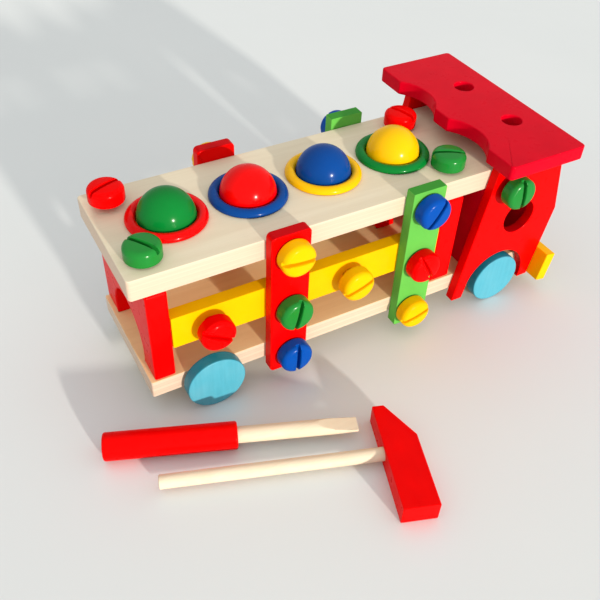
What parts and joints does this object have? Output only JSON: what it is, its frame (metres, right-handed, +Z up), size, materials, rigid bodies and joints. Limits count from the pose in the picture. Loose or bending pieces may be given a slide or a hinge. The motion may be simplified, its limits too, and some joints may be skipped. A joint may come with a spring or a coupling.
{
  "type": "toy workbench",
  "caption": "Wooden toy workbench shaped like a truck, with balls to hammer through collars, slotted wooden screws in strips and rails, wheels, a cab, a hammer and a screwdriver.",
  "frame": {"origin": "middle of the footprint of the truck and its two tools, on the floor", "axes": "+X towards the truck's cab, +Y towards the side away from the tools, +Z up"},
  "size_m": [0.4474, 0.3342, 0.171],
  "materials": {
    "plywood": "sanded bare plywood",
    "dowel_wood": "sanded bare beech dowel",
    "red_paint": "gloss paint",
    "crimson_paint": "gloss paint",
    "green_paint": "gloss paint",
    "blue_paint": "gloss paint",
    "yellow_paint": "gloss paint",
    "wheel_paint": "satin paint",
    "light_green_paint": "gloss paint",
    "red_plastic": "gloss",
    "blue_plastic": "gloss",
    "yellow_plastic": "gloss",
    "green_plastic": "gloss"
  },
  "bodies": {
    "truck": {"base_board": "plywood", "top_board": "plywood", "rear_panel": "red_paint", "front_panel": "red_paint", "rail_near": "yellow_paint", "rear_strip_near": "red_paint", "front_strip_near": "light_green_paint", "cab_side_near": "crimson_paint", "rail_far": "yellow_paint", "rear_strip_far": "red_paint", "front_strip_far": "light_green_paint", "cab_side_far": "crimson_paint", "cab_front": "crimson_paint", "cab_back": "crimson_paint", "cab_roof": "crimson_paint", "bumper": "yellow_paint", "collar_1": "red_plastic", "collar_2": "blue_plastic", "collar_3": "yellow_plastic", "collar_4": "green_plastic"},
    "ball_1": {"ball_1": "green_paint"},
    "ball_2": {"ball_2": "red_paint"},
    "ball_3": {"ball_3": "blue_paint"},
    "ball_4": {"ball_4": "yellow_paint"},
    "wheelset_rear": {"axle_rear": "dowel_wood", "wheel_rear_near": "wheel_paint", "wheel_rear_far": "wheel_paint"},
    "wheelset_front": {"axle_front": "dowel_wood", "wheel_front_near": "wheel_paint", "wheel_front_far": "wheel_paint"},
    "screw_top_rear_near": {"screw_top_rear_near": "green_paint"},
    "screw_top_rear_far": {"screw_top_rear_far": "red_paint"},
    "screw_top_front_near": {"screw_top_front_near": "green_paint"},
    "screw_top_front_far": {"screw_top_front_far": "red_paint"},
    "screw_rear_strip_near_top": {"screw_rear_strip_near_top": "yellow_paint"},
    "screw_rear_strip_near_middle": {"screw_rear_strip_near_middle": "green_paint"},
    "screw_rear_strip_near_bottom": {"screw_rear_strip_near_bottom": "blue_paint"},
    "screw_front_strip_near_top": {"screw_front_strip_near_top": "blue_paint"},
    "screw_front_strip_near_middle": {"screw_front_strip_near_middle": "red_paint"},
    "screw_front_strip_near_bottom": {"screw_front_strip_near_bottom": "yellow_paint"},
    "screw_rail_near_rear": {"screw_rail_near_rear": "red_paint"},
    "screw_rail_near_front": {"screw_rail_near_front": "yellow_paint"},
    "screw_cab_near": {"screw_cab_near": "green_paint"},
    "screw_rear_strip_far_top": {"screw_rear_strip_far_top": "yellow_paint"},
    "screw_rear_strip_far_middle": {"screw_rear_strip_far_middle": "green_paint"},
    "screw_rear_strip_far_bottom": {"screw_rear_strip_far_bottom": "blue_paint"},
    "screw_front_strip_far_top": {"screw_front_strip_far_top": "blue_paint"},
    "screw_front_strip_far_middle": {"screw_front_strip_far_middle": "red_paint"},
    "screw_front_strip_far_bottom": {"screw_front_strip_far_bottom": "yellow_paint"},
    "screw_rail_far_rear": {"screw_rail_far_rear": "red_paint"},
    "screw_rail_far_front": {"screw_rail_far_front": "yellow_paint"},
    "screw_cab_far": {"screw_cab_far": "green_paint"},
    "hammer": {"hammer_head": "red_paint", "hammer_handle": "dowel_wood"},
    "screwdriver": {"driver_handle": "red_paint", "driver_shaft": "dowel_wood"}
  },
  "joints": [
    {"name": "ball_1_drop", "type": "slide", "parent": "truck", "child": "ball_1", "axis": [0, 0, 1], "range_m": [-0.087, 0.03]},
    {"name": "ball_2_drop", "type": "slide", "parent": "truck", "child": "ball_2", "axis": [0, 0, 1], "range_m": [-0.087, 0.03]},
    {"name": "ball_3_drop", "type": "slide", "parent": "truck", "child": "ball_3", "axis": [0, 0, 1], "range_m": [-0.087, 0.03]},
    {"name": "ball_4_drop", "type": "slide", "parent": "truck", "child": "ball_4", "axis": [0, 0, 1], "range_m": [-0.087, 0.03]},
    {"name": "wheelset_rear_roll", "type": "hinge", "parent": "truck", "child": "wheelset_rear", "pos_m": [-0.1212, 0.0741, 0.0248], "axis": [0, 1, 0], "continuous": true},
    {"name": "wheelset_front_roll", "type": "hinge", "parent": "truck", "child": "wheelset_front", "pos_m": [0.1628, 0.0741, 0.0248], "axis": [0, 1, 0], "continuous": true},
    {"name": "screw_top_rear_near_turn", "type": "hinge", "parent": "truck", "child": "screw_top_rear_near", "pos_m": [-0.1582, 0.0376, 0.1452], "axis": [0, 0, 1], "continuous": true},
    {"name": "screw_top_rear_far_turn", "type": "hinge", "parent": "truck", "child": "screw_top_rear_far", "pos_m": [-0.1599, 0.1106, 0.1482], "axis": [0, 0, 1], "continuous": true},
    {"name": "screw_top_front_near_turn", "type": "hinge", "parent": "truck", "child": "screw_top_front_near", "pos_m": [0.1078, 0.0376, 0.1458], "axis": [0, 0, 1], "continuous": true},
    {"name": "screw_top_front_far_turn", "type": "hinge", "parent": "truck", "child": "screw_top_front_far", "pos_m": [0.109, 0.1106, 0.1456], "axis": [0, 0, 1], "continuous": true},
    {"name": "screw_rear_strip_near_top_turn", "type": "hinge", "parent": "truck", "child": "screw_rear_strip_near_top", "pos_m": [-0.05475, 0.00835, 0.13285], "axis": [0, -1, 0], "continuous": true},
    {"name": "screw_rear_strip_near_middle_turn", "type": "hinge", "parent": "truck", "child": "screw_rear_strip_near_middle", "pos_m": [-0.05425, 0.00835, 0.0772], "axis": [0, -1, 0], "continuous": true},
    {"name": "screw_rear_strip_near_bottom_turn", "type": "hinge", "parent": "truck", "child": "screw_rear_strip_near_bottom", "pos_m": [-0.05305, 0.00835, 0.028], "axis": [0, -1, 0], "continuous": true},
    {"name": "screw_front_strip_near_top_turn", "type": "hinge", "parent": "truck", "child": "screw_front_strip_near_top", "pos_m": [0.0682, 0.00835, 0.13445], "axis": [0, -1, 0], "continuous": true},
    {"name": "screw_front_strip_near_middle_turn", "type": "hinge", "parent": "truck", "child": "screw_front_strip_near_middle", "pos_m": [0.0682, 0.00835, 0.0788], "axis": [0, -1, 0], "continuous": true},
    {"name": "screw_front_strip_near_bottom_turn", "type": "hinge", "parent": "truck", "child": "screw_front_strip_near_bottom", "pos_m": [0.0658, 0.00835, 0.0268], "axis": [0, -1, 0], "continuous": true},
    {"name": "screw_rail_near_rear_turn", "type": "hinge", "parent": "truck", "child": "screw_rail_near_rear", "pos_m": [-0.1192, 0.00835, 0.0814], "axis": [0, -1, 0], "continuous": true},
    {"name": "screw_rail_near_front_turn", "type": "hinge", "parent": "truck", "child": "screw_rail_near_front", "pos_m": [0.0043, 0.00835, 0.0814], "axis": [0, -1, 0], "continuous": true},
    {"name": "screw_cab_near_turn", "type": "hinge", "parent": "truck", "child": "screw_cab_near", "pos_m": [0.1552, 0.00835, 0.1284], "axis": [0, -1, 0], "continuous": true},
    {"name": "screw_rear_strip_far_top_turn", "type": "hinge", "parent": "truck", "child": "screw_rear_strip_far_top", "pos_m": [-0.05995, 0.13985, 0.13445], "axis": [0, 1, 0], "continuous": true},
    {"name": "screw_rear_strip_far_middle_turn", "type": "hinge", "parent": "truck", "child": "screw_rear_strip_far_middle", "pos_m": [-0.05995, 0.13985, 0.0788], "axis": [0, 1, 0], "continuous": true},
    {"name": "screw_rear_strip_far_bottom_turn", "type": "hinge", "parent": "truck", "child": "screw_rear_strip_far_bottom", "pos_m": [-0.05995, 0.13985, 0.028], "axis": [0, 1, 0], "continuous": true},
    {"name": "screw_front_strip_far_top_turn", "type": "hinge", "parent": "truck", "child": "screw_front_strip_far_top", "pos_m": [0.0661, 0.13985, 0.13445], "axis": [0, 1, 0], "continuous": true},
    {"name": "screw_front_strip_far_middle_turn", "type": "hinge", "parent": "truck", "child": "screw_front_strip_far_middle", "pos_m": [0.0661, 0.13985, 0.0788], "axis": [0, 1, 0], "continuous": true},
    {"name": "screw_front_strip_far_bottom_turn", "type": "hinge", "parent": "truck", "child": "screw_front_strip_far_bottom", "pos_m": [0.0661, 0.13985, 0.028], "axis": [0, 1, 0], "continuous": true},
    {"name": "screw_rail_far_rear_turn", "type": "hinge", "parent": "truck", "child": "screw_rail_far_rear", "pos_m": [-0.1192, 0.13985, 0.0814], "axis": [0, 1, 0], "continuous": true},
    {"name": "screw_rail_far_front_turn", "type": "hinge", "parent": "truck", "child": "screw_rail_far_front", "pos_m": [0.0043, 0.13985, 0.0814], "axis": [0, 1, 0], "continuous": true},
    {"name": "screw_cab_far_turn", "type": "hinge", "parent": "truck", "child": "screw_cab_far", "pos_m": [0.1578, 0.13985, 0.1296], "axis": [0, 1, 0], "continuous": true},
    {"name": "hammer_lift", "type": "slide", "parent": "truck", "child": "hammer", "axis": [0, 0, 1], "range_m": [0, 0.15]},
    {"name": "screwdriver_lift", "type": "slide", "parent": "truck", "child": "screwdriver", "axis": [0, 0, 1], "range_m": [0, 0.15]}
  ]
}
